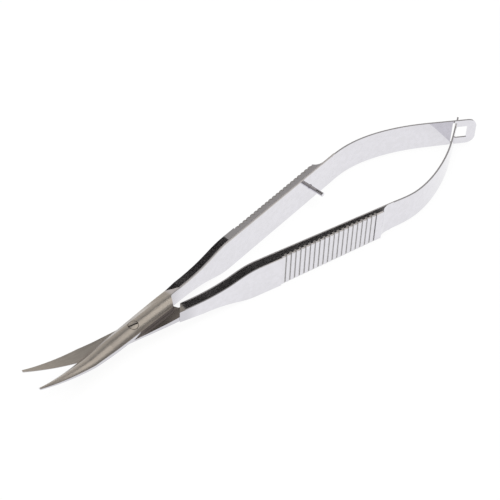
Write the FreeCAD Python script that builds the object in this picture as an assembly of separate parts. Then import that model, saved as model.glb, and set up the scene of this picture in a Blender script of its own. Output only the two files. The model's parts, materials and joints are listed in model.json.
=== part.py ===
import FreeCAD, Part

import math
import os

# Spring-handled micro scissors with curved blades, in millimetres.
# Two steel halves cross at a slotted screw. Each half is drawn as it lies when the blades are
# shut: X runs from the screw to the tail, +Z is the side of the screw head, and the half's own
# side of the handle is +Y. The halves are then opened about the screw to where the springs
# hold them.

V = FreeCAD.Vector

# Opening
OPEN_ANGLE = 12.9          # angle between the halves at rest, degrees
HALF_OPEN = OPEN_ANGLE / 2

# Blades, measured from the screw towards the tips
BLADE_REACH = 24.4         # screw to blade tip
BEND_START = 6.5           # radius at which the blades start to curve up
BEND_RADIUS = 42.0         # radius of that curve, seen from the side
BLADE_CORNER = 11.8        # where the back of the blade turns in towards the tip
TIP_WIDTH = 0.5            # width of the blunt point
TIP_HEIGHT = 0.42          # thickness of one blade at its point
EDGE_SHIFT = 0.18          # how far the cutting edge passes the middle at the tip
SLIDE_GAP = 0.05           # play between the two mating faces
MATING_RISE = 0.3          # the mating plane lies this far above the middle of the handles

# Section of the blades
EDGE_AT_CORNER = 1.7       # middle to the cutting edge at the blade's corner
SPINE_AT_CORNER = 1.7      # middle to the blade's back there
CORNER_HEIGHT = 1.26       # thickness of one blade there
EDGE_FLAT = 0.12           # thickness left at the cutting edge
BLADE_CREASE = 0.52        # crease between edge facet and crown, as a share of the edge's distance
CREASE_RISE = 0.72         # its height, as a share of the crown
BACK_WALL_TIP = 0.7        # side wall of the back, as a share of the crown, at the point
BACK_WALL_CORNER = 0.58    # and at the corner

# Shank round the screw
NECK_OUT = 2.07            # middle to the outer side where the blade starts to curve
NECK_IN = 1.83             # and to the inner side
NECK_HEIGHT = 1.58         # mating face to the crown there
NECK_WALL = 0.4            # height of the outer side wall there
SHANK_OUT = 2.2            # middle to the outer side of the shank
SHANK_IN = 1.9             # middle to the inner side of the shank
SHANK_HEIGHT = 1.75        # mating face to the crown of the shank
SCREW_WALL = 0.55          # height of the outer side wall beside the screw
LAP_WALL = 1.25            # and where the shank runs into the handle
INNER_WALL = 0.9           # height of the inner side wall
CREASE_OUT = 1.12          # middle to the crease that parts the edge facet from the crown
SHANK_CREASE = 0.88        # its height, as a share of the crown
LAP_SHARE = 0.92           # the shank's end, as a share of its full width and height

# Lap where the shanks widen into the handles
LAP_INNER = 10.85          # screw to the inner end of the slanted step
LAP_SLANT = 1.4            # how much nearer to the screw the step's outer end lies
LAP_GAP = 0.35             # space between one half's step and the other half's shank
LAP_RUN = 3.0              # how far handle and shank run into each other
FACET_END = 19.0           # where the shank's edge facet dies out on the handle

# Handles
HANDLE_HEIGHT = 8.6        # height of the handle bar where its flare ends
ROOT_HEIGHT = 3.9          # its height where the flare starts
MIDDLE_HEIGHT = 6.1        # and at a place between
ROOT_SINK = 0.95           # how far the bar's end lies sunk in the shank
FLARE_START = 13.5
FLARE_MIDDLE = 22.0
FLARE_END = 28.0
INNER_ROOT = 0.08          # middle to the inner face at the lap
INNER_FLARE = 0.43         # and where the flare ends
FRONT_LEAN = 0.04          # outward slope of the inner face from there on
REAR_LEAN = 0.053
FRONT_BAR_THICK = 1.9      # handle bar before the grip
REAR_BAR_THICK = 2.3
BAR_FALL = 0.3             # how much lower the bar is at the weld
EDGE_BEVEL = 0.13          # broken long edges

# Grips
FRONT_GRIP_START = 31.1    # the two grips do not start at the same place
REAR_GRIP_START = 33.6
RIB_PITCH = 1.175
FRONT_RIBS = 21
REAR_RIBS = 20
RIB_RISE = 0.26            # height of a rib's rounded crown over its grooves
RIB_BEVEL = 0.22           # bevel over both ends of the ribs
FRONT_GRIP_THICK = 1.65    # inner face to the crown of the first rib
FRONT_GRIP_END = 1.7       # and behind the last one
REAR_GRIP_THICK = 2.15
REAR_GRIP_END = 1.6
FRONT_LAND = 0.5           # plain land behind the last rib
REAR_LAND = 1.7
SCOOP_RUN = 2.6            # hollow between the land and the thin end
HOLLOW_SHARE = 0.42        # where the hollow is as deep as it gets, as a share of its run
HOLLOW_REST = 0.3          # what it leaves there over the thin end
SCOOP_DROP = 0.6           # how it leaves the land: this far along for 1 down
WELD_PLACE = 62.2          # end of the half, where the spring is welded on

# Springs
LEAF_THICK = 0.35
LEAF_INSET = 0.15          # how far a spring's edges lie inside the bar's at the weld
LEAF_BOW_HEIGHT = 7.6      # at the widest place
LEAF_END_HEIGHT = 6.7
CROSSING = 90.1            # screw to the place where the two springs cross
BOW_FRONT = 9.25           # middle to the widest place of the front spring
BOW_REAR = 10.05           # and of the rear one
BOW_PLACE = 67.0           # where that widest place lies
FALL_PLACE = 79.0          # a place on the way down from the bow to the crossing
FALL_FRONT = 6.1           # middle to the front spring there
FALL_REAR = 7.0            # and to the rear one
STRAIGHT_LEAD = 1.6        # straight part of each spring before the crossing
END_SLOPE_FRONT = 30.5     # how steeply each spring runs into the crossing, degrees
END_SLOPE_REAR = 35.5
PLATE_END = 4.6            # crossing to the rounded end of the windowed plate
PLATE_ROUND = 2.0          # rounding of the plate's corners
WINDOW_LENGTH = 3.5
WINDOW_HEIGHT = 3.3
WINDOW_LEAD = 0.9          # crossing to the near end of the window
SLIT_LENGTH = 0.6          # tall slit at that end, through which the head is put in
SLIT_HEIGHT = 5.9
NECK_PLAY = 0.3            # play of the neck in the window, above and below
HEAD_PLAY = 0.9            # plate to the shoulders and to the head of the tongue
HEAD_HEIGHT = 5.6
HEAD_LENGTH = 1.0

# Screw
SCREW_HEAD = 2.05
HEAD_DEPTH = 0.75
SCREW_SHANK = 1.4
SCREW_PLAY = 0.04          # radial play of the front half on the screw
SLOT_WIDTH = 0.28
SLOT_DEPTH = 0.4
SLOT_TURN = -12.0          # direction of the slot from the length of the scissors, degrees

# Stop pin
PIN_PLACE = 54.2
PIN_DIAMETER = 0.95
STOP_ANGLE = 0.2           # opening that is left when it stops the handles, degrees
COLLAR_DIAMETER = 1.25
COLLAR_HEIGHT = 0.25
PIN_SET = 1.2              # how deep it is set in the handle

FAR = 40.0                 # larger than the whole section, for cutting tools
PAST = 1.0                 # how far a cutting tool reaches past an end
OVERCUT = 0.01             # how far two cuts side by side reach into each other
NEAR = 0.05                # how near to its place an edge is looked for

FRONT = {"lean": FRONT_LEAN, "bar": FRONT_BAR_THICK, "start": FRONT_GRIP_START,
         "ribs": FRONT_RIBS, "thick": FRONT_GRIP_THICK, "end_thick": FRONT_GRIP_END,
         "land": FRONT_LAND, "bow": BOW_FRONT, "fall": FALL_FRONT, "slope": END_SLOPE_FRONT}
REAR = {"lean": REAR_LEAN, "bar": REAR_BAR_THICK, "start": REAR_GRIP_START,
        "ribs": REAR_RIBS, "thick": REAR_GRIP_THICK, "end_thick": REAR_GRIP_END,
        "land": REAR_LAND, "bow": BOW_REAR, "fall": FALL_REAR, "slope": END_SLOPE_REAR}


def prism(points, low, high):
    """A closed outline in plan, pulled up from low to high."""
    wire = Part.makePolygon([V(x, y, low) for x, y in points + points[:1]])
    return Part.Face(wire).extrude(V(0, 0, high - low))


def smooth(points, start, end):
    """A smooth curve through points, with given directions at its ends."""
    curve = Part.BSplineCurve()
    curve.interpolate(Points=points, InitialTangent=start, FinalTangent=end)
    return curve


def mating_height(radius):
    """Height of the mating faces at a distance from the screw."""
    if radius <= BEND_START:
        return 0.0
    return BEND_RADIUS - math.sqrt(BEND_RADIUS ** 2 - (radius - BEND_START) ** 2)


def mating_body(shift):
    """Everything under the mating faces. They are one surface of revolution about the screw,
    so the curved blades pass each other at every angle."""
    end = BLADE_REACH + 3 * PAST
    middle = (BEND_START + end) / 2
    start = V(0, 0, shift)
    bend = V(BEND_START, 0, shift)
    half_way = V(middle, 0, shift + mating_height(middle))
    tip = V(end, 0, shift + mating_height(end))
    outline = Part.Wire([
        Part.makeLine(start, bend),
        Part.Arc(bend, half_way, tip).toShape(),
        Part.makeLine(tip, V(end, 0, -FAR)),
        Part.makeLine(V(end, 0, -FAR), V(0, 0, -FAR)),
        Part.makeLine(V(0, 0, -FAR), start)])
    return Part.Face(outline).revolve(V(0, 0, 0), V(0, 0, 1), 360)


def inner_face(handle, x):
    """Distance of a handle's inner face from the middle, with the blades shut."""
    if x < FLARE_END:
        return INNER_ROOT + (INNER_FLARE - INNER_ROOT) * (x - LAP_INNER) / (FLARE_END - LAP_INNER)
    return INNER_FLARE + handle["lean"] * (x - FLARE_END)


def shank_section(x, outer, inner, crease, wall_out, crease_height, crown, wall_in, side, lift):
    """One cross-section of blade or shank: side wall, edge facet, crease, rounded crown, side
    wall. It reaches under the mating face, which trims it."""
    below = -INNER_WALL
    points = [(outer, below), (outer, wall_out), (crease, crease_height),
              ((crease - inner) / 2, crown), (-inner, wall_in), (-inner, below)]
    a, b, c, d, e, f = [V(x, side * y, lift + side * z) for y, z in points]
    return Part.Wire([Part.makeLine(a, b), Part.makeLine(b, c), Part.Arc(c, d, e).toShape(),
                      Part.makeLine(e, f), Part.makeLine(f, a)])


def blade_stations():
    """Sections of the blade from the point to its corner."""
    stations = []
    for share in (0.0, 1 / 3, 2 / 3, 1.0):
        x = -BLADE_REACH + share * (BLADE_REACH - BLADE_CORNER)
        outer = EDGE_SHIFT + share * (EDGE_AT_CORNER - EDGE_SHIFT)
        tip_inner = TIP_WIDTH - EDGE_SHIFT
        inner = tip_inner + share * (SPINE_AT_CORNER - tip_inner)
        crown = TIP_HEIGHT + share * (CORNER_HEIGHT - TIP_HEIGHT)
        back_wall = BACK_WALL_TIP + share * (BACK_WALL_CORNER - BACK_WALL_TIP)
        stations.append((x, outer, inner, outer * BLADE_CREASE, EDGE_FLAT, crown * CREASE_RISE,
                         crown, crown * back_wall))
    return stations


def shank_stations():
    """Sections of the shank from the start of the blade's curve to inside the handle."""
    neck = (-BEND_START, NECK_OUT, NECK_IN, CREASE_OUT, NECK_WALL, NECK_HEIGHT * SHANK_CREASE,
            NECK_HEIGHT, INNER_WALL)
    stations = [neck]
    middle_wall = (SCREW_WALL + LAP_WALL) / 2
    for x, wall, share in ((0.0, SCREW_WALL, 1.0), (LAP_INNER / 2, middle_wall, 1.0),
                           (LAP_INNER + LAP_RUN, LAP_WALL, LAP_SHARE)):
        crown = SHANK_HEIGHT * share
        stations.append((x, SHANK_OUT * share, SHANK_IN, CREASE_OUT, wall, crown * SHANK_CREASE,
                         crown, INNER_WALL))
    return stations


def blade_loft(side):
    """Blade and shank of one half, lofted from the point back to the handle."""
    blade = blade_stations()
    shank = shank_stations()
    lofts = []
    for stations in (blade, [blade[-1], shank[0]], shank):
        sections = [shank_section(*station, side, mating_height(-station[0]))
                    for station in stations]
        lofts.append(Part.makeLoft(sections, True, False))
    return lofts[0].fuse(lofts[1:]).removeSplitter()


def blade_and_shank(side):
    """Blade and shank of one half, trimmed by the mating face."""
    under = mating_body(side * SLIDE_GAP / 2)
    return blade_loft(side).cut(under) if side > 0 else blade_loft(side).common(under)


def step_line(offset):
    """Two plan points on the slanted step of the lap, inner one first. The step leans towards
    the screw on its outer side; offset shifts it towards the screw."""
    lean = LAP_SLANT / (SHANK_OUT - INNER_ROOT)
    outer = 2 * SHANK_OUT
    inner_point = (LAP_INNER - offset, INNER_ROOT)
    outer_point = (LAP_INNER - offset - lean * (outer - INNER_ROOT), outer)
    return inner_point, outer_point


def half_height(x):
    """Middle to the top of the bar behind the flare, where it gets a little lower."""
    share = (x - FLARE_END) / (WELD_PLACE - FLARE_END)
    return (HANDLE_HEIGHT - share * BAR_FALL) / 2


def bar_profile():
    """Side view of the handle bar: low at the lap, flared to the full height, a little lower
    again at the weld. On top it starts inside the shank, so the crown runs into it."""
    low = ROOT_HEIGHT / 2
    sunk_x = LAP_INNER - LAP_RUN
    sunk = V(sunk_x, 0, low - ROOT_SINK)
    root = V(FLARE_START, 0, low)
    full = V(FLARE_END, 0, half_height(FLARE_END))
    weld = V(WELD_PLACE, 0, half_height(WELD_PLACE))
    flare = smooth([root, V(FLARE_MIDDLE, 0, MIDDLE_HEIGHT / 2), full], V(1, 0, 0), weld - full)
    upper = [flare.toShape(), Part.makeLine(full, weld)]
    lower = [edge.mirror(V(0, 0, 0), V(0, 0, 1)) for edge in upper]
    rest = [Part.makeLine(sunk, root), Part.makeLine(V(sunk_x, 0, -low), V(FLARE_START, 0, -low)),
            Part.makeLine(sunk, V(sunk_x, 0, -low)),
            Part.makeLine(weld, V(WELD_PLACE, 0, -weld.z))]
    wire = Part.Wire(Part.__sortEdges__(upper + lower + rest))
    return Part.Face(wire).extrude(V(0, FAR, 0)).translated(V(0, -FAR / 2, 0))


def rib_crown(handle, x):
    """Distance of the ribs' crowns from the middle; the grip gets thinner or thicker along it."""
    share = (x - handle["start"]) / (handle["ribs"] * RIB_PITCH)
    thick = handle["thick"] + share * (handle["end_thick"] - handle["thick"])
    return inner_face(handle, x) + thick


def grip_relief(handle):
    """Everything outside the ribs, the land and the thin end of the bar. The ribs are rounded
    crowns that meet in sharp grooves."""
    start = handle["start"]
    clear = V(start, inner_face(handle, start) + FAR, 0)
    here = V(start, rib_crown(handle, start) - RIB_RISE, 0)
    edges = [Part.makeLine(clear, here)]
    for rib in range(handle["ribs"]):
        crown_x = start + (rib + 0.5) * RIB_PITCH
        groove_x = start + (rib + 1) * RIB_PITCH
        crown = V(crown_x, rib_crown(handle, crown_x), 0)
        groove = V(groove_x, rib_crown(handle, groove_x) - RIB_RISE, 0)
        edges.append(Part.Arc(here, crown, groove).toShape())
        here = groove
    grip_end = here.x + handle["land"]
    thin_x = grip_end + SCOOP_RUN
    hollow_x = grip_end + SCOOP_RUN * HOLLOW_SHARE
    land_start = V(here.x, rib_crown(handle, here.x), 0)
    land_end = V(grip_end, rib_crown(handle, grip_end), 0)
    hollow = V(hollow_x, inner_face(handle, hollow_x) + LEAF_THICK + HOLLOW_REST, 0)
    thin = V(thin_x, inner_face(handle, thin_x) + LEAF_THICK, 0)
    end = V(WELD_PLACE, inner_face(handle, WELD_PLACE) + LEAF_THICK, 0)
    beyond = V(WELD_PLACE + PAST, end.y, 0)
    corner = V(beyond.x, clear.y, 0)
    scoop = smooth([land_end, hollow, thin], V(SCOOP_DROP, -1, 0), V(1, handle["lean"], 0))
    edges += [Part.makeLine(here, land_start), Part.makeLine(land_start, land_end),
              scoop.toShape(), Part.makeLine(thin, end), Part.makeLine(end, beyond),
              Part.makeLine(beyond, corner), Part.makeLine(corner, clear)]
    return Part.Face(Part.Wire(edges)).extrude(V(0, 0, FAR)).translated(V(0, 0, -FAR / 2))


def rib_bevels(handle):
    """Two wedges that bevel the ends of the ribs and of the land."""
    first_x = handle["start"]
    last_x = first_x + handle["ribs"] * RIB_PITCH + handle["land"]
    first = V(first_x, rib_crown(handle, first_x), half_height(first_x))
    last = V(last_x, rib_crown(handle, last_x), half_height(last_x))
    outside = V(0, 1, 1)
    low_corner = V(0, 1, -1 - RIB_BEVEL)
    high_corner = V(0, -1 - RIB_BEVEL, 1)
    corners = [first + outside, first + low_corner, first + high_corner, first + outside]
    wedge = Part.Face(Part.makePolygon(corners)).extrude(last - first)
    return wedge.fuse(wedge.mirror(V(0, 0, 0), V(0, 0, 1)))


def facet_cut(side, bar):
    """What lies over the shank's edge facet, which runs on along the handle's outer edge and
    dies out where the plane meets it."""
    start = LAP_INNER - LAP_RUN
    rise = side * MATING_RISE
    wall = V(start, SHANK_OUT, LAP_WALL + rise)
    crease = V(start, CREASE_OUT, LAP_SHARE * SHANK_HEIGHT * SHANK_CREASE + rise)
    corners = [v.Point for wire in bar.slice(V(1, 0, 0), FACET_END) for v in wire.Vertexes]
    edge = max(corners, key=lambda point: point.y + point.z)
    across = crease - wall
    along = edge - wall
    normal = across.cross(along).normalize()
    near = wall - across * FAR
    far = crease + across * FAR
    face = Part.Face(Part.makePolygon([near, near + along, far + along, far, near]))
    return face.extrude(normal * FAR)


def long_edges(bar, handle):
    """The two outer and the two inner long edges of a plain bar."""
    outer_edges = []
    inner_edges = []
    for edge in bar.Edges:
        middle = edge.valueAt((edge.FirstParameter + edge.LastParameter) / 2)
        if edge.BoundBox.XLength < 1.5 * LAP_SLANT or abs(middle.z) < ROOT_HEIGHT / 4:
            continue
        depth = middle.y - inner_face(handle, middle.x)
        if depth > handle["bar"] / 2:
            outer_edges.append(edge)
        elif abs(depth) < EDGE_BEVEL / 4:
            inner_edges.append(edge)
    return outer_edges, inner_edges


def bar_plan(handle):
    """Plan outline of the plain bar. Its sides bend where the flare ends."""
    foot, outer_foot = step_line(0.0)
    share = (SHANK_OUT - foot[1]) / (outer_foot[1] - foot[1])
    heel = (foot[0] + share * (outer_foot[0] - foot[0]), SHANK_OUT)
    inner = [(x, inner_face(handle, x)) for x in (LAP_INNER, FLARE_END, WELD_PLACE)]
    outer = [(x, inner_face(handle, x) + handle["bar"]) for x in (WELD_PLACE, FLARE_END)]
    return inner + outer + [heel]


def handle_bar(side, handle):
    """The handle bar, from the slanted step of the lap to the weld."""
    bar = prism(bar_plan(handle), -HANDLE_HEIGHT, HANDLE_HEIGHT).common(bar_profile())
    bar = bar.makeChamfer(EDGE_BEVEL, long_edges(bar, handle)[0])
    bar = bar.makeChamfer(EDGE_BEVEL, long_edges(bar, handle)[1])
    bar = bar.cut(facet_cut(side, bar))
    return bar.cut(grip_relief(handle)).cut(rib_bevels(handle))


def opened(shape, side):
    """A shut shape on its own side of the handle, turned open about the screw."""
    return shape.rotated(V(0, 0, 0), V(0, 0, 1), side * HALF_OPEN)


def half(side):
    """One forged half: blade, shank and handle bar. The rear half is the front one turned
    over, except that its blade still curves up and its grip differs."""
    handle = FRONT if side > 0 else REAR
    bar = handle_bar(side, handle)
    inner_end, outer_end = step_line(LAP_GAP)
    shank_end = prism([(LAP_INNER, INNER_ROOT), (inner_end[0], -inner_end[1]),
                       (outer_end[0], -outer_end[1]), (FAR, -outer_end[1]),
                       (FAR, inner_face(handle, FAR))], -FAR / 4, FAR / 4)
    if side < 0:
        bar = bar.rotated(V(0, 0, 0), V(1, 0, 0), 180)
        shank_end = shank_end.rotated(V(0, 0, 0), V(1, 0, 0), 180)
    bar = bar.translated(V(0, 0, -MATING_RISE))
    body = blade_and_shank(side).cut(shank_end).fuse(bar).removeSplitter()
    return opened(body, side)


def cylinder(diameter, low, high):
    """A cylinder on the screw's axis."""
    return Part.makeCylinder(diameter / 2, high - low, V(0, 0, low))


def pivot_screw(envelope):
    """Slotted screw, ground flush with both crowns."""
    seat = SHANK_HEIGHT - HEAD_DEPTH
    screw = cylinder(SCREW_HEAD, seat, FAR / 4).fuse(cylinder(SCREW_SHANK, -FAR / 4, seat))
    screw = screw.common(envelope)
    slot = Part.makeBox(2 * SCREW_HEAD, SLOT_WIDTH, FAR, V(-SCREW_HEAD, -SLOT_WIDTH / 2,
                                                           SHANK_HEIGHT - SLOT_DEPTH))
    return screw.cut(slot.rotated(V(0, 0, 0), V(0, 0, 1), SLOT_TURN)).removeSplitter()


def stop_pin():
    """Round pin in the front handle, square to its inner face. It stops the rear handle when
    the blades are all but shut."""
    outward = V(-FRONT_LEAN, 1, 0).normalize()
    front_face = inner_face(FRONT, PIN_PLACE)
    reach = front_face + inner_face(REAR, PIN_PLACE) + PIN_PLACE * math.radians(STOP_ANGLE)
    foot = V(PIN_PLACE, front_face, -MATING_RISE)
    pin = Part.makeCylinder(PIN_DIAMETER / 2, reach + PIN_SET, foot - outward * reach, outward)
    collar = Part.makeCylinder(COLLAR_DIAMETER / 2, COLLAR_HEIGHT, foot - outward * COLLAR_HEIGHT,
                               outward)
    hole = Part.makeCylinder(PIN_DIAMETER / 2, PIN_SET, foot, outward)
    return opened(pin.fuse(collar).removeSplitter(), 1), opened(hole, 1)


def turned(point, angle):
    """A point turned about the screw."""
    return FreeCAD.Rotation(V(0, 0, 1), angle).multVec(point)


def leaf_path(handle, beyond):
    """Middle line of a spring in plan: out of the handle, round the bow, straight through the
    crossing. Returns the curved edge, the straight edge and the straight part's direction."""
    start_face = inner_face(handle, WELD_PLACE)
    start = turned(V(WELD_PLACE, start_face + LEAF_THICK / 2, 0), HALF_OPEN)
    along = turned(V(1, handle["lean"], 0), HALF_OPEN)
    slope = math.radians(handle["slope"])
    inward = V(math.cos(slope), -math.sin(slope), 0)
    straight_start = V(CROSSING, 0, 0) - inward * STRAIGHT_LEAD
    curve = smooth([start, V(BOW_PLACE, handle["bow"], 0), V(FALL_PLACE, handle["fall"], 0),
                    straight_start], along.normalize(), inward)
    end = V(CROSSING, 0, 0) + inward * beyond
    return curve.toShape(), Part.makeLine(straight_start, end), inward


def strip(path, height):
    """A strip of spring steel of one height, standing on a plan path."""
    first = path.Edges[0]
    start = first.valueAt(first.FirstParameter)
    across = first.tangentAt(first.FirstParameter).cross(V(0, 0, 1)) * (LEAF_THICK / 2)
    up = V(0, 0, height / 2)
    profile = Part.makePolygon([start + across + up, start - across + up, start - across - up,
                                start + across - up, start + across + up])
    shell = Part.BRepOffsetAPI.MakePipeShell(path)
    shell.setBiNormalMode(V(0, 0, 1))
    shell.add(profile)
    shell.build()
    shell.makeSolid()
    return shell.shape()


def leaf_taper():
    """Side view of a spring, narrower towards the tail."""
    root_height = 2 * (half_height(WELD_PLACE) - LEAF_INSET)
    heights = [(WELD_PLACE - PAST, root_height), (BOW_PLACE, LEAF_BOW_HEIGHT),
               (CROSSING + 2 * PLATE_END, LEAF_END_HEIGHT)]
    upper = [V(x, 0, height / 2) for x, height in heights]
    lower = [V(x, 0, -height / 2) for x, height in reversed(heights)]
    face = Part.Face(Part.makePolygon(upper + lower + upper[:1]))
    return face.extrude(V(0, FAR, 0)).translated(V(0, -FAR / 2, 0))


def across_strip(along, low, high, bottom, top):
    """A box that goes right through the straight end of a spring: from low to high along it,
    measured from the crossing, and from bottom to top in height."""
    block = Part.makeBox(high - low, FAR / 4, top - bottom, V(low, -FAR / 8, bottom))
    turn = math.degrees(math.atan2(along.y, along.x))
    return block.rotated(V(0, 0, 0), V(0, 0, 1), turn).translated(V(CROSSING, 0, 0))


def front_leaf():
    """Front spring: its end is a plate with rounded corners and a window."""
    curve, straight, along = leaf_path(FRONT, PLATE_END)
    leaf = strip(Part.Wire([curve, straight]), HANDLE_HEIGHT).common(leaf_taper())
    window = across_strip(along, -WINDOW_LEAD, WINDOW_LENGTH - WINDOW_LEAD, -WINDOW_HEIGHT / 2,
                          WINDOW_HEIGHT / 2)
    corners = []
    for edge in leaf.Edges:
        middle = edge.valueAt((edge.FirstParameter + edge.LastParameter) / 2)
        reach = (middle - V(CROSSING, 0, 0)).dot(along)
        if abs(reach - PLATE_END) < NEAR and abs(middle.z) > LEAF_END_HEIGHT / 4:
            corners.append(edge)
    slit = across_strip(along, -WINDOW_LEAD, SLIT_LENGTH - WINDOW_LEAD, -SLIT_HEIGHT / 2,
                        SLIT_HEIGHT / 2)
    leaf = leaf.makeFillet(PLATE_ROUND, corners).cut(window.fuse(slit))
    return leaf.translated(V(0, 0, -MATING_RISE))


def rear_leaf():
    """Rear spring: a T-shaped tongue, whose neck passes through the window and whose head
    holds the two springs together."""
    reach = HEAD_PLAY + HEAD_LENGTH
    curve, straight, along = leaf_path(REAR, reach)
    leaf = strip(Part.Wire([curve, straight]), HANDLE_HEIGHT).common(leaf_taper())
    neck = WINDOW_HEIGHT / 2 - NECK_PLAY
    for side in (-1, 1):
        low, high = sorted((side * neck, side * FAR / 4))
        leaf = leaf.cut(across_strip(along, -HEAD_PLAY, HEAD_PLAY, low, high))
        low, high = sorted((side * HEAD_HEIGHT / 2, side * FAR / 4))
        leaf = leaf.cut(across_strip(along, HEAD_PLAY - OVERCUT, reach + PAST, low, high))
    return leaf.mirror(V(0, 0, 0), V(0, 1, 0)).translated(V(0, 0, -MATING_RISE))


def make_parts():
    """All the pieces, in the frame of the screw, with the springs at rest."""
    raw_envelope = opened(blade_loft(1), 1).fuse(opened(blade_loft(-1), -1))
    screw = pivot_screw(raw_envelope)
    seat = SHANK_HEIGHT - HEAD_DEPTH
    pin, pin_hole = stop_pin()
    front_hole = cylinder(SCREW_SHANK + 2 * SCREW_PLAY, -FAR / 4, FAR / 4).fuse(
        cylinder(SCREW_HEAD + 2 * SCREW_PLAY, seat - SCREW_PLAY, FAR / 4))
    front = half(1).cut(front_hole).cut(pin_hole)
    rear = half(-1).cut(cylinder(SCREW_SHANK, -FAR / 4, FAR / 4))
    return {"front_half": front, "rear_half": rear, "pivot_screw": screw, "stop_pin": pin,
            "front_spring_leaf": front_leaf(), "rear_spring_leaf": rear_leaf()}


def main():
    os.makedirs("parts", exist_ok=True)
    parts = make_parts()
    box = Part.makeCompound(list(parts.values())).optimalBoundingBox(False, False)
    origin = V(-(box.XMin + box.XMax) / 2, -(box.YMin + box.YMax) / 2, -box.ZMin)
    for name, shape in parts.items():
        placed = shape.translated(origin)
        solid = placed.Solids[0] if len(placed.Solids) == 1 else placed
        solid.exportStep(os.path.join("parts", name + ".step"))
        print(name, "valid", solid.isValid(), "solids", len(placed.Solids),
              "volume %.2f" % solid.Volume)
    print("screw axis at x %.3f y %.3f, mating plane at z %.3f" % tuple(origin))
    print("overall %.2f x %.2f x %.2f" % (box.XLength, box.YLength, box.ZLength))


main()
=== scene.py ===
# %% [markdown]
# Spring-handled micro scissors. Two steel halves cross at a slotted screw, and two leaf springs, welded
# to the handles and hooked together at the tail, push them open. The imported CAD part holds every
# shape and size; this script gives it its steels, copies of its springs cut into short lengths, and a
# studio.
# %% Load the frame
import json
import math

import bmesh
import bpy
from mathutils import Matrix, Vector


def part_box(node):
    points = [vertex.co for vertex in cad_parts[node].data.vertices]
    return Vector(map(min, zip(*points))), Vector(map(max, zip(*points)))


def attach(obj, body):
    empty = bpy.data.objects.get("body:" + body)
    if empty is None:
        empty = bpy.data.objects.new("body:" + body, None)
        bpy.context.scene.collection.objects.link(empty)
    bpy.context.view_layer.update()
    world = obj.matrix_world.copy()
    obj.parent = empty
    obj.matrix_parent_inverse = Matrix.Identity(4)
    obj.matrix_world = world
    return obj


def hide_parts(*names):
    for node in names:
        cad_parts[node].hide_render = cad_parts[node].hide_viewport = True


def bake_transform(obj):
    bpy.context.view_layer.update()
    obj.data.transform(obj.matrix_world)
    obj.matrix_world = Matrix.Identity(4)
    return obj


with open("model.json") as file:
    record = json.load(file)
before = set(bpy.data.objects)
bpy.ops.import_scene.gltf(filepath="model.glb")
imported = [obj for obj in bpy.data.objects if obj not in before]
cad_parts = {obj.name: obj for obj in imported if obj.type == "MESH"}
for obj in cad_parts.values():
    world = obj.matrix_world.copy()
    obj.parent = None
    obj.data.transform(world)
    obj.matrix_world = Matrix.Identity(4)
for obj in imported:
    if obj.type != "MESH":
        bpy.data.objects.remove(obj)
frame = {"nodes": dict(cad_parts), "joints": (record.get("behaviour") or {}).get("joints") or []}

MM = 0.001
SCENE = bpy.context.scene
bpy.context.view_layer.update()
nodes = frame["nodes"]
joints = {joint["name"]: joint for joint in frame["joints"]}
SCREW = Vector(joints["blade_pivot"]["pos_m"])
HANDLE_MIDDLE = joints["front_spring_flex"]["pos_m"][2]
HALF_OPEN = math.radians(6.45)
print("screw axis", [round(v / MM, 2) for v in SCREW], "mm")


def place(along, across, up):
    """A point in metres from millimetres: along and across from the screw's axis, up from the
    middle of the handles."""
    return Vector((SCREW.x + along * MM, SCREW.y + across * MM, HANDLE_MIDDLE + up * MM))


def opened(along, across, up, side):
    """The same for a place given as the half lies when the blades are shut: across is measured
    to the half's own side, and side is 1 for the front half and -1 for the rear one."""
    turn = HALF_OPEN * side
    return place(along * math.cos(turn) - side * across * math.sin(turn),
                 along * math.sin(turn) + side * across * math.cos(turn), up)


# %% [markdown]
# A small helper makes a shader node, sets its sockets and links what is itself a socket. With it a
# finish reads as a recipe: pattern, contrast, where it goes.
# %% Shader helpers
def node(tree, kind, settings=(), **sockets):
    """A new node with its settings and its sockets set or linked."""
    made = tree.nodes.new(kind)
    for name, value in dict(settings).items():
        setattr(made, name, value)
    for name, value in sockets.items():
        key = int(name[1:]) if name[0] == "i" and name[1:].isdigit() else name.replace("_", " ")
        if isinstance(value, bpy.types.NodeSocket):
            tree.links.new(value, made.inputs[key])
        else:
            made.inputs[key].default_value = value
    return made


def maths(tree, operation, first, second=0.0):
    """The result of one sum on one or two numbers."""
    return node(tree, "ShaderNodeMath", {"operation": operation}, i0=first, i1=second).outputs[0]


def ramp(tree, value, low, high, out_low=0.0, out_high=1.0):
    """A smooth step of a value, as a number between two results."""
    return node(tree, "ShaderNodeMapRange", {"interpolation_type": "SMOOTHSTEP"}, i0=value, i1=low,
                i2=high, i3=out_low, i4=out_high).outputs[0]


def band(tree, value, low, high, soft):
    """One between two places along a value, nought outside, with soft ends."""
    return maths(tree, "MULTIPLY", ramp(tree, value, low - soft, low + soft),
                 ramp(tree, value, high - soft, high + soft, 1.0, 0.0))


def mixed(tree, share, first, second):
    """A blend of two colours."""
    return node(tree, "ShaderNodeMix", {"data_type": "RGBA"}, i0=share, i6=first, i7=second).outputs[2]


def blended(tree, share, first, second):
    """A blend of two numbers."""
    return node(tree, "ShaderNodeMix", {"data_type": "FLOAT"}, i0=share, i2=first, i3=second).outputs[0]


def noise(tree, spot, stretch, scale, detail=3.0):
    """Noise on object coordinates, stretched along the axes."""
    turned = node(tree, "ShaderNodeMapping", Vector=spot, Scale=stretch).outputs[0]
    return node(tree, "ShaderNodeTexNoise", Vector=turned, Scale=scale, Detail=detail).outputs[0]


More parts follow.
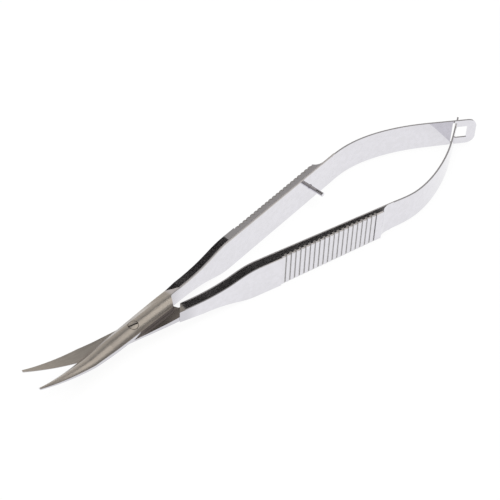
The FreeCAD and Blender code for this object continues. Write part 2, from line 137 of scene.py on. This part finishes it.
def measured(tree, side):
    """Object coordinates in millimetres from the screw, turned back to how a half lies when the
    blades are shut: along the length, across to the half's own side, and up."""
    spot = node(tree, "ShaderNodeTexCoord").outputs["Object"]
    turned = node(tree, "ShaderNodeVectorRotate", {"rotation_type": "Z_AXIS"}, Vector=spot,
                  Center=tuple(SCREW), Angle=-HALF_OPEN * side).outputs[0]
    parts = node(tree, "ShaderNodeSeparateXYZ", Vector=turned).outputs
    along = maths(tree, "MULTIPLY", maths(tree, "SUBTRACT", parts[0], SCREW.x), 1 / MM)
    across = maths(tree, "MULTIPLY", maths(tree, "SUBTRACT", parts[1], SCREW.y),
                   (side or 1) / MM)
    up = maths(tree, "MULTIPLY", maths(tree, "SUBTRACT", parts[2], HANDLE_MIDDLE), 1 / MM)
    return spot, along, across, up


# %% [markdown]
# Steel has two looks here. The blades and the joint are satin: fine scratches along the length
# blur the reflections and warm their colour. The flat faces of the handles and springs are
# polished and mirror what is around them. Both are one shader whose roughness, colour and bump
# change along the part, so no seam shows where one finish runs into the other.
# %% Colours and measures of the steel
SATIN = (0.64, 0.605, 0.57, 1)
SATIN_DARK = (0.57, 0.535, 0.50, 1)
POLISH = (0.755, 0.745, 0.785, 1)
POLISH_DULL = (0.725, 0.715, 0.75, 1)
SATIN_ROUGH = (0.25, 0.36)
POLISH_ROUGH = (0.04, 0.09)
GRAIN_STRETCH = (60, 3600, 3600)
GRAIN_CONTRAST = (0.3, 0.75)
CLOUD_SCALE = 900.0
CLOUD_CONTRAST = (0.35, 0.65)
SATIN_END = 10.3
SATIN_FADE = 1.0
STEEP = (0.1, 0.4)
BUMP_STRENGTH = 0.2
BUMP_DEPTH = 0.006
POLISH_BUMP = 0.02
INNER_ROOT = 0.08
INNER_FLARE = 0.43
STEP_PLACE = 10.85
FLARE_END = 28.0
RIB_PITCH = 1.175
FRONT_GRIP = {"start": 31.1, "ribs": 21, "lean": 0.04, "thick": 1.65, "end_thick": 1.7,
              "inset": 0.03}
REAR_GRIP = {"start": 33.6, "ribs": 20, "lean": 0.053, "thick": 2.15, "end_thick": 1.6,
             "inset": 0.2}


def crown_line(grip, along):
    """Distance of the ribs' crowns from the middle, with the blades shut."""
    share = (along - grip["start"]) / (grip["ribs"] * RIB_PITCH)
    thick = grip["thick"] + share * (grip["end_thick"] - grip["thick"])
    return INNER_FLARE + grip["lean"] * (along - FLARE_END) + thick


def line(tree, along, slope, start):
    """A value that grows evenly along the length."""
    return node(tree, "ShaderNodeMath", {"operation": "MULTIPLY_ADD"}, i0=along, i1=slope,
                i2=start).outputs[0]


# %% [markdown]
# The grooves between the ribs stay dull, because no polishing wheel reaches them, and their colour is
# darkened as painted shade for the dark lines between the ribs. The inner border of each handle is
# rubbed dull where its edge was broken. Both are masks on measured object coordinates, so they follow
# the shape and stay where they are in every pose.
# %% Grooves and worn edges
# Painted shade: the groove flanks and bottoms get this darker colour in place of the shade in them.
GROOVE_PAINTED_SHADE = (0.50, 0.49, 0.49, 1)
GROOVE_ROUGH = 0.55
GROOVE_FLANK = (0.56, 0.86)
GROOVE_BOTTOM = (0.02, 0.14)
GROOVE_REACH = (-0.62, -0.52)
GROOVE_AFTER = 0.1
GROOVE_BEFORE = 0.03
GROOVE_SOFT = 0.05
WORN_WIDTH = 0.3
WORN_FADE = 0.12
WORN_LEVEL = (0.7, 0.85)
WORN_RUN = 4.0
WORN_ROUGH = 0.5


def groove_shade_mask(tree, grip, along, across):
    """The flank and bottom of each groove on the outer side of a grip, darkened as painted shade."""
    start = grip["start"]
    end = start + grip["ribs"] * RIB_PITCH
    turns = maths(tree, "MULTIPLY", maths(tree, "SUBTRACT", along, start), 1 / RIB_PITCH)
    share = maths(tree, "FRACT", turns)
    flank = ramp(tree, share, *GROOVE_FLANK)
    bottom = ramp(tree, share, *GROOVE_BOTTOM, 1.0, 0.0)
    lines = maths(tree, "MAXIMUM", flank, bottom)
    slope = (crown_line(grip, end) - crown_line(grip, start)) / (end - start)
    crown = line(tree, along, slope, crown_line(grip, start) - slope * start)
    outside = ramp(tree, maths(tree, "SUBTRACT", across, crown), *GROOVE_REACH)
    inside = band(tree, along, start + GROOVE_AFTER, end - GROOVE_BEFORE, GROOVE_SOFT)
    return maths(tree, "MULTIPLY", maths(tree, "MULTIPLY", lines, outside), inside)


def worn_edge(tree, grip, along, across, level):
    """The inner border of a handle's upper and lower face."""
    root = (INNER_FLARE - INNER_ROOT) / (FLARE_END - STEP_PLACE)
    before = line(tree, along, root, INNER_ROOT - root * STEP_PLACE)
    behind = line(tree, along, grip["lean"], INNER_FLARE - grip["lean"] * FLARE_END)
    depth = maths(tree, "SUBTRACT", across, maths(tree, "MAXIMUM", before, behind))
    border = ramp(tree, depth, WORN_WIDTH, WORN_WIDTH + WORN_FADE, 1.0, 0.0)
    flat_face = ramp(tree, level, *WORN_LEVEL)
    beyond_joint = ramp(tree, along, SATIN_END, SATIN_END + WORN_RUN)
    return maths(tree, "MULTIPLY", border, maths(tree, "MULTIPLY", flat_face, beyond_joint))


# %% [markdown]
# At the joint a fine gap runs round the screw's head and a slot is cut into it. Both get painted shade,
# a dark colour in a thin ring and on the slot's bottom. The rear half shows some of the ground face on
# which the two halves slide. That face is smoother than the satin round it, and its colour is set
# darker as a painted reflection, because it looks nearly black on the real one.
# %% Joint
# Painted shade: a dark colour for the gap round the screw's head and for the bottom of its slot.
RECESS_SHADE = (0.17, 0.145, 0.13, 1)
RECESS_ROUGH = 0.6
HEAD_RADIUS = 1.045
SEAT_HALF = 0.055
SEAT_SOFT = 0.02
SLOT_TURN = math.radians(-12)
SLOT_HALF = 0.11
SLOT_SOFT = 0.03
# Painted reflection: this darker colour of the ground face stands for what the steel mirrors there.
GROUND_FACE_REFLECTION = (0.42, 0.375, 0.35, 1)
GROUND_ROUGH = 0.14
GROUND_RUN = (1.0, 12.0)
GROUND_FADE = 2.0
GROUND_LEVEL = (0.985, 0.995)
GROUND_TOP = (0.5, 0.8)


def seat_shade_mask(tree, along, across):
    """A thin ring round the screw's head, painted dark as the shade in its gap."""
    radius = maths(tree, "SQRT", maths(tree, "ADD", maths(tree, "MULTIPLY", along, along),
                                       maths(tree, "MULTIPLY", across, across)))
    return band(tree, radius, HEAD_RADIUS - SEAT_HALF, HEAD_RADIUS + SEAT_HALF, SEAT_SOFT)


def slot_shade_mask(tree, along, across):
    """The bottom of the slot in the screw's head, painted dark as the shade in the slot."""
    beside = maths(tree, "ABSOLUTE", maths(
        tree, "SUBTRACT", maths(tree, "MULTIPLY", across, math.cos(SLOT_TURN)),
        maths(tree, "MULTIPLY", along, math.sin(SLOT_TURN))))
    return ramp(tree, beside, SLOT_HALF, SLOT_HALF + SLOT_SOFT, 1.0, 0.0)


def ground_mask(tree, along, up, level):
    """The face of the rear half on which the front half slides, smoother, with a painted darker
    reflection.
    """
    run = maths(tree, "MULTIPLY", band(tree, along, *GROUND_RUN, GROUND_FADE),
                ramp(tree, level, *GROUND_LEVEL))
    return maths(tree, "MULTIPLY", run, ramp(tree, up, *GROUND_TOP, 1.0, 0.0))


# %% [markdown]
# One recipe makes every steel of the part. The satin gets darker where a crown falls away to its foot,
# and the thin side walls of the blades are a plain light grey. Real steel would show both by what it
# mirrors. Here they are painted reflections, tints in the base colour, because a card for each would
# also show in other faces.
# %% Steel finishes
# Painted reflections: the darker foot of the crowns and the grey side walls are tints for what the
# steel mirrors.
FOOT_REFLECTION = (0.40, 0.37, 0.35, 1)
FOOT_LEVEL = (0.72, 0.86)
SIDE_WALL_REFLECTION = (0.60, 0.59, 0.625, 1)
WALL_FADE = 4.0


def steel(name, satin_until, side=0, grip=None, ground=False, seat=False, slot=False):
    """Steel that is satin up to a place along the part and polished beyond it."""
    made = bpy.data.materials.new(name)
    made.use_nodes = True
    tree = made.node_tree
    shader = tree.nodes["Principled BSDF"]
    shader.inputs["Metallic"].default_value = 1.0
    spot, along, across, up = measured(tree, side)
    facing = node(tree, "ShaderNodeSeparateXYZ", Vector=node(
        tree, "ShaderNodeNewGeometry").outputs["True Normal"]).outputs[2]
    level = maths(tree, "ABSOLUTE", facing)
    steep = ramp(tree, level, *STEEP, 1.0, 0.0)
    polished = maths(tree, "MAXIMUM", steep, ramp(tree, along, satin_until, satin_until + SATIN_FADE))
    grain = noise(tree, spot, GRAIN_STRETCH, 1.0)
    cloud = noise(tree, spot, (1, 1, 1), CLOUD_SCALE)
    satin = mixed(tree, ramp(tree, grain, *GRAIN_CONTRAST), SATIN_DARK, SATIN)
    satin = mixed(tree, ramp(tree, level, *FOOT_LEVEL, 1.0, 0.0), satin, FOOT_REFLECTION)
    polish = mixed(tree, ramp(tree, cloud, *CLOUD_CONTRAST), POLISH_DULL, POLISH)
    wall_reflection = maths(tree, "MULTIPLY", steep, ramp(tree, along, satin_until, satin_until + WALL_FADE,
                                                 1.0, 0.0))
    polish = mixed(tree, wall_reflection, polish, SIDE_WALL_REFLECTION)
    colour = mixed(tree, polished, satin, polish)
    rough = blended(tree, polished, blended(tree, grain, *SATIN_ROUGH),
                    blended(tree, cloud, *POLISH_ROUGH))
    coats = []
    if grip:
        rough = blended(tree, worn_edge(tree, grip, along, across, level), rough, WORN_ROUGH)
        coats.append((groove_shade_mask(tree, grip, along, across), GROOVE_PAINTED_SHADE, GROOVE_ROUGH))
    if ground:
        coats.append((ground_mask(tree, along, up, level), GROUND_FACE_REFLECTION, GROUND_ROUGH))
    if seat:
        coats.append((seat_shade_mask(tree, along, across), RECESS_SHADE, RECESS_ROUGH))
    if slot:
        coats.append((slot_shade_mask(tree, along, across), RECESS_SHADE, RECESS_ROUGH))
    for share, coat_colour, coat_rough in coats:
        colour = mixed(tree, share, colour, coat_colour)
        rough = blended(tree, share, rough, coat_rough)
    tree.links.new(colour, shader.inputs["Base Color"])
    tree.links.new(rough, shader.inputs["Roughness"])
    height = blended(tree, polished, grain, maths(tree, "MULTIPLY", cloud, POLISH_BUMP))
    bump = node(tree, "ShaderNodeBump", Strength=BUMP_STRENGTH, Distance=BUMP_DEPTH * MM,
                Height=height)
    tree.links.new(bump.outputs[0], shader.inputs["Normal"])
    return made


# %% Finishes on the nodes
NO_SATIN = -60.0
ALL_SATIN = 60.0
finishes = {
    "front_half": steel("satin_to_polished_front", SATIN_END, 1, FRONT_GRIP, seat=True),
    "rear_half": steel("satin_to_polished_rear", SATIN_END, -1, REAR_GRIP, ground=True),
    "pivot_screw": steel("satin_screw", ALL_SATIN, seat=True, slot=True),
    "stop_pin": steel("polished_pin", NO_SATIN),
    "front_spring_leaf": steel("polished_spring_front", NO_SATIN, 1),
    "rear_spring_leaf": steel("polished_spring_rear", NO_SATIN, -1),
}
for name, finish in finishes.items():
    slots = nodes[name].data.materials
    for number in range(len(slots)):
        slots[number] = finish
print("finishes on", len(finishes), "nodes")

# %% [markdown]
# The grips' ribs are cut into the handles and rounded over. The CAD halves carry them with a
# bevel over their ends; on the real handles the ribs run out square, so their round tops show as
# a scalloped edge. They repeat at an even pitch, which is what Geometry Nodes are for: a line of
# points along the crowns and one bar put on each.
# %% Rows of ribs
BAR_HEIGHT = 8.6
BAR_FALL = 0.3
WELD_PLACE = 62.2
RIB_HALF = 0.565
RIB_RISE = 0.26
PROUD = 0.015
SHARP = math.radians(40)
BAR_SIDES = 28
COUNT_SHORT = 0.999


def half_height(along):
    """Middle to the top of a handle behind its flare, where it gets a little lower."""
    return (BAR_HEIGHT - BAR_FALL * (along - FLARE_END) / (WELD_PLACE - FLARE_END)) / 2


def bar_row_tree():
    """Round bars at an even pitch between two points, with their height falling along the row."""
    tree = bpy.data.node_groups.new("bar_row", "GeometryNodeTree")
    for name, kind in (("Start", "NodeSocketVector"), ("End", "NodeSocketVector"),
                       ("Count", "NodeSocketInt"), ("Radius", "NodeSocketFloat"),
                       ("Flatness", "NodeSocketFloat"), ("First Height", "NodeSocketFloat"),
                       ("Last Height", "NodeSocketFloat"), ("Turn", "NodeSocketFloat"),
                       ("Material", "NodeSocketMaterial")):
        tree.interface.new_socket(name, in_out="INPUT", socket_type=kind)
    tree.interface.new_socket("Geometry", in_out="OUTPUT", socket_type="NodeSocketGeometry")
    given = tree.nodes.new("NodeGroupInput").outputs
    row = node(tree, "GeometryNodeMeshLine", {"mode": "END_POINTS"}, Count=given["Count"],
               Start_Location=given["Start"], Offset=given["End"]).outputs[0]
    bar = node(tree, "GeometryNodeMeshCylinder", {}, Vertices=BAR_SIDES, Radius=given["Radius"],
               Depth=1.0).outputs[0]
    number = tree.nodes.new("GeometryNodeInputIndex").outputs[0]
    last = node(tree, "ShaderNodeMath", {"operation": "SUBTRACT"}, i0=given["Count"],
                i1=COUNT_SHORT)
    tall = node(tree, "ShaderNodeMapRange", {}, i0=number, i1=0.0, i2=last.outputs[0],
                i3=given["First Height"], i4=given["Last Height"]).outputs[0]
    size = node(tree, "ShaderNodeCombineXYZ", {}, i0=1.0, i1=given["Flatness"], i2=tall).outputs[0]
    turn = node(tree, "ShaderNodeCombineXYZ", {}, i2=given["Turn"]).outputs[0]
    bars = node(tree, "GeometryNodeInstanceOnPoints", {}, Points=row, Instance=bar, Rotation=turn,
                Scale=size).outputs[0]
    solid = node(tree, "GeometryNodeRealizeInstances", {}, i0=bars).outputs[0]
    normal = tree.nodes.new("GeometryNodeInputNormal").outputs[0]
    rise = node(tree, "ShaderNodeSeparateXYZ", {}, i0=normal).outputs[2]
    flank = node(tree, "ShaderNodeMath", {"operation": "COMPARE"}, i0=rise, i1=0.0, i2=0.5)
    shaded = node(tree, "GeometryNodeSetShadeSmooth", {}, Geometry=solid,
                  Shade_Smooth=flank.outputs[0]).outputs[0]
    dressed = node(tree, "GeometryNodeSetMaterial", {}, Geometry=shaded,
                   Material=given["Material"]).outputs[0]
    node(tree, "NodeGroupOutput", {}, Geometry=dressed)
    return tree


def grown(name, tree, values):
    """A plain mesh object from a node tree and the values of its named inputs."""
    seed = bpy.data.objects.new(name + "_seed", bpy.data.meshes.new(name + "_seed"))
    SCENE.collection.objects.link(seed)
    modifier = seed.modifiers.new("grow", "NODES")
    modifier.node_group = tree
    for item in tree.interface.items_tree:
        if item.in_out == "INPUT" and item.name in values:
            modifier[item.identifier] = values[item.name]
    ready = seed.evaluated_get(bpy.context.evaluated_depsgraph_get())
    mesh = bpy.data.meshes.new_from_object(ready)
    mesh.name = name
    mesh.set_sharp_from_angle(angle=SHARP)
    made = bpy.data.objects.new(name, mesh)
    SCENE.collection.objects.link(made)
    bpy.data.objects.remove(seed)
    print(name, len(mesh.polygons), "faces")
    return made


bar_row = bar_row_tree()
for body, grip, side in (("front_half", FRONT_GRIP, 1), ("rear_half", REAR_GRIP, -1)):
    first = grip["start"] + RIB_PITCH / 2
    last = first + (grip["ribs"] - 1) * RIB_PITCH
    ends = [opened(x, crown_line(grip, x) - RIB_RISE, 0, side) for x in (first, last)]
    row_line = ends[1] - ends[0]
    ribs = grown(body.replace("half", "grip_ribs"), bar_row, {
        "Start": ends[0], "End": ends[1], "Count": grip["ribs"], "Radius": RIB_HALF * MM,
        "Flatness": (RIB_RISE + PROUD) / RIB_HALF,
        "First Height": 2 * (half_height(first) - grip["inset"]) * MM,
        "Last Height": 2 * (half_height(last) - grip["inset"]) * MM,
        "Turn": math.atan2(row_line.y, row_line.x), "Material": finishes[body]})
    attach(ribs, body)

# %% [markdown]
# Each spring is a thin strip welded to the end of a handle. A faint raised line across the strip
# is all that shows of the weld, so it is one more bar of the same kind, as thin as a hair.
# %% Weld seams
SEAM_RADIUS = 0.16
SEAM_RISE = 0.03
INNER_END = {"front_half": INNER_FLARE + FRONT_GRIP["lean"] * (WELD_PLACE - FLARE_END),
             "rear_half": INNER_FLARE + REAR_GRIP["lean"] * (WELD_PLACE - FLARE_END)}
SEAM_BACK = 0.9
SEAM_SHORT = 0.25
for body, side, grip in (("front_half", 1, FRONT_GRIP), ("rear_half", -1, REAR_GRIP)):
    lean = grip["lean"]
    spot = opened(WELD_PLACE - SEAM_BACK, INNER_END[body] - SEAM_BACK * lean, 0, side)
    tall = 2 * (half_height(WELD_PLACE) - SEAM_SHORT) * MM
    seam = grown(body.replace("half", "weld_seam"), bar_row, {
        "Start": spot, "End": spot + Vector((MM, 0, 0)), "Count": 1, "Radius": SEAM_RADIUS * MM,
        "Flatness": SEAM_RISE / SEAM_RADIUS, "First Height": tall, "Last Height": tall,
        "Turn": side * (HALF_OPEN + math.atan(lean)), "Material": finishes[body]})
    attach(seam, body)

# %% [markdown]
# The springs bend when the handles are squeezed, most of all near their welds. A rigid CAD leaf can
# only turn there, so each is replaced by a copy that is cut across into short lengths. Its edges are
# marked sharp, so the thin strip is shaded smooth across its faces and stays crisp at its borders.
# %% Spring copies cut into short lengths
STRIP_LENGTH = 1.5 * MM
MERGE = 0.0005 * MM
FLAT_ENOUGH = math.radians(0.5)


def bending_copy(name):
    """A closed copy of a CAD node, cut across into short lengths."""
    work = bmesh.new()
    work.from_mesh(nodes[name].data)
    bmesh.ops.remove_doubles(work, verts=work.verts, dist=MERGE)
    bmesh.ops.dissolve_limit(work, angle_limit=FLAT_ENOUGH, verts=work.verts, edges=work.edges)
    low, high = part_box(name)
    cuts = int((high[0] - low[0]) / STRIP_LENGTH)
    for cut in range(1, cuts):
        spot = (low[0] + cut * STRIP_LENGTH, 0, 0)
        everything = work.verts[:] + work.edges[:] + work.faces[:]
        bmesh.ops.bisect_plane(work, geom=everything, plane_co=spot, plane_no=(1, 0, 0),
                               dist=MERGE)
    mesh = bpy.data.meshes.new(name.replace("leaf", "strip"))
    work.to_mesh(mesh)
    work.free()
    mesh.materials.append(finishes[name])
    mesh.shade_smooth()
    mesh.set_sharp_from_angle(angle=SHARP)
    made = bpy.data.objects.new(mesh.name, mesh)
    SCENE.collection.objects.link(made)
    print(name, "copied with", len(mesh.polygons), "faces")
    return made


for side_name in ("front", "rear"):
    leaf = bending_copy(side_name + "_spring_leaf")
    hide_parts(side_name + "_spring_leaf")
    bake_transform(leaf)

# %% [markdown]
# The camera stands where the picture was taken: 339 mm from the middle of the scissors, looking
# down at 48 degrees, turned a little about its own axis. A long lens keeps the lines calm.
# %% Camera
AIM = place(31.88, 1.76, 0)
CAMERA_AZIMUTH = math.radians(-132.29)
CAMERA_ELEVATION = math.radians(48.02)
CAMERA_DISTANCE = 338.8 * MM
CAMERA_ROLL = math.radians(2.4)
SENSOR = 36.0
FOCAL = 1641.45
FRAME_SIZE = 500
HALF_PIXEL = 0.5 / FRAME_SIZE


def heading(azimuth, elevation):
    """A unit vector from two angles."""
    return Vector((math.cos(azimuth) * math.cos(elevation),
                   math.sin(azimuth) * math.cos(elevation), math.sin(elevation)))


backwards = heading(CAMERA_AZIMUTH, CAMERA_ELEVATION)
level_right = Vector((0, 0, 1)).cross(backwards).normalized()
level_up = backwards.cross(level_right)
right = math.cos(CAMERA_ROLL) * level_right + math.sin(CAMERA_ROLL) * level_up
upwards = backwards.cross(right)
camera_data = bpy.data.cameras.new("camera")
camera_data.sensor_width = SENSOR
camera_data.lens = FOCAL / FRAME_SIZE * SENSOR
camera_data.shift_x = -HALF_PIXEL
camera_data.shift_y = HALF_PIXEL
camera_data.clip_start = 0.01
camera = bpy.data.objects.new("camera", camera_data)
turn = Matrix((right, upwards, backwards)).transposed().to_4x4()
camera.matrix_world = Matrix.Translation(AIM + backwards * CAMERA_DISTANCE) @ turn
SCENE.collection.objects.link(camera)
SCENE.camera = camera

# %% [markdown]
# The table is plain white. Part of what the camera sees of it is its own lit surface, which keeps
# the soft shadow, and the rest is plain white.
# %% Floor
FLOOR_SIZE = 6.0
WHITE_SHARE = 0.92
TABLE = (0.9, 0.9, 0.905, 1)


def flat(name, corners, material):
    """One flat sheet through given corners."""
    mesh = bpy.data.meshes.new(name)
    mesh.from_pydata([tuple(corner) for corner in corners], [], [tuple(range(len(corners)))])
    mesh.materials.append(material)
    made = bpy.data.objects.new(name, mesh)
    SCENE.collection.objects.link(made)
    return made


floor_paint = bpy.data.materials.new("white_table")
floor_paint.use_nodes = True
tree = floor_paint.node_tree
surface = tree.nodes["Principled BSDF"]
surface.inputs["Roughness"].default_value = 1.0
surface.inputs["Specular IOR Level"].default_value = 0.0
surface.inputs["Base Color"].default_value = TABLE
white = node(tree, "ShaderNodeEmission", Color=(1, 1, 1, 1), Strength=1.0).outputs[0]
path = node(tree, "ShaderNodeLightPath").outputs
seen = maths(tree, "MAXIMUM", path["Is Camera Ray"], path["Is Glossy Ray"])
seen = maths(tree, "MAXIMUM", seen, path["Is Transmission Ray"])
share = maths(tree, "MULTIPLY", seen, WHITE_SHARE)
both = node(tree, "ShaderNodeMixShader", i0=share, i1=surface.outputs[0], i2=white).outputs[0]
tree.links.new(both, tree.nodes["Material Output"].inputs["Surface"])
half_floor = FLOOR_SIZE / 2
floor = flat("floor", [(-half_floor, -half_floor, 0), (half_floor, -half_floor, 0),
                       (half_floor, half_floor, 0), (-half_floor, half_floor, 0)], floor_paint)

# %% [markdown]
# A soft grey room and two large soft lights light the scene. Polished steel has no look of its
# own: it shows what stands round it. So cards stand where its faces mirror them, as a photographer
# would set them up: black ones for the dark lines, a warm white one overhead for the broad
# highlight on the shanks, and dimmer ones behind and at the side for the far flanks and the broken
# edges. Only reflections see the cards.
# %% Light
SKY = 0.36
SKY_COLOUR = (SKY, SKY * 0.965, SKY * 0.92, 1)
world = bpy.data.worlds.new("room")
world.use_nodes = True
world.node_tree.nodes["Background"].inputs["Color"].default_value = SKY_COLOUR
SCENE.world = world


def soft_light(name, spot, aim, size, power):
    """A square soft light that looks at a point. Steel mirrors the cards in its place."""
    lamp = bpy.data.lights.new(name, "AREA")
    lamp.shape = "SQUARE"
    lamp.size = size
    lamp.energy = power
    made = bpy.data.objects.new(name, lamp)
    made.location = spot
    made.rotation_euler = (Vector(aim) - Vector(spot)).to_track_quat("-Z", "Y").to_euler()
    made.visible_glossy = False
    SCENE.collection.objects.link(made)
    return made


soft_light("overhead_light", spot=(0.0, -0.05, 0.75), aim=(0, 0, 0), size=0.6, power=6.0)
soft_light("side_light", spot=(-0.6, -0.35, 0.45), aim=(0, 0, 0), size=0.4, power=2.2)

# %% Cards
CARD_DISTANCE = 0.45
TOP_EDGE = place(0, 0, 4.2).z
BLACK = (0.02, 0.018, 0.017)
CARD_ROUGH = 0.9


def paint(name, colour, glow):
    """A dull paint, or one that glows by itself."""
    made = bpy.data.materials.new(name)
    made.use_nodes = True
    shader = made.node_tree.nodes["Principled BSDF"]
    shader.inputs["Roughness"].default_value = CARD_ROUGH
    shader.inputs["Base Color"].default_value = (0, 0, 0, 1) if glow else (*BLACK, 1)
    shader.inputs["Emission Color"].default_value = (*colour, 1)
    shader.inputs["Emission Strength"].default_value = glow
    return made


def mirrored_spot(column, row):
    """Where a picture point, seen in a level mirror at the handles' top edge, meets the plane of
    the card."""
    eye = camera.matrix_world.translation
    middle = FRAME_SIZE / 2
    ray = right * (column - middle) - upwards * (row - middle) - backwards * FOCAL
    hit = eye + ray * ((TOP_EDGE - eye.z) / ray.z)
    up_ray = Vector((ray.x, ray.y, -ray.z)).normalized()
    return hit + up_ray * CARD_DISTANCE


def only_mirrored(card):
    """Hide a card from all but reflections."""
    card.visible_camera = False
    card.visible_diffuse = False
    card.visible_shadow = False
    card.visible_transmission = False


def side_card(name, azimuth, elevation, width, height, material):
    """A card round the scissors, square to the line to its middle. All sizes are angles."""
    middle = heading(math.radians(azimuth), math.radians(elevation))
    across = Vector((0, 0, 1)).cross(middle).normalized()
    above = middle.cross(across)
    wide = across * math.tan(math.radians(width / 2))
    tall = above * math.tan(math.radians(height / 2))
    corners = [(middle + a * wide + b * tall) * CARD_DISTANCE
               for a, b in ((-1, -1), (1, -1), (1, 1), (-1, 1))]
    only_mirrored(flat(name, corners, material))


BLACK_CORNERS = ((-420, 610), (-190, 510), (-60, 440), (60, 385), (110, 345), (150, 300),
                 (164, 276), (218, 246), (234, 250), (400, 178), (388, 205), (402, 232),
                 (205, 325), (150, 410), (60, 545), (-100, 730), (-320, 920))
black_paint = paint("black_paint", BLACK, 0.0)
only_mirrored(flat("black_card", [mirrored_spot(*corner) for corner in BLACK_CORNERS], black_paint))
WARM = (1.0, 0.94, 0.86)
side_card("overhead_card", azimuth=0, elevation=65, width=40, height=22,
          material=paint("overhead_paint", WARM, 0.95))
side_card("dark_card", azimuth=-52, elevation=44, width=24, height=9, material=black_paint)
side_card("back_card", azimuth=66, elevation=20, width=80, height=36,
          material=paint("back_paint", WARM, 0.56))
side_card("edge_card", azimuth=-59, elevation=24, width=44, height=22,
          material=paint("edge_paint", WARM, 0.68))

# %% View transform and the end
SCENE.view_settings.view_transform = "Standard"
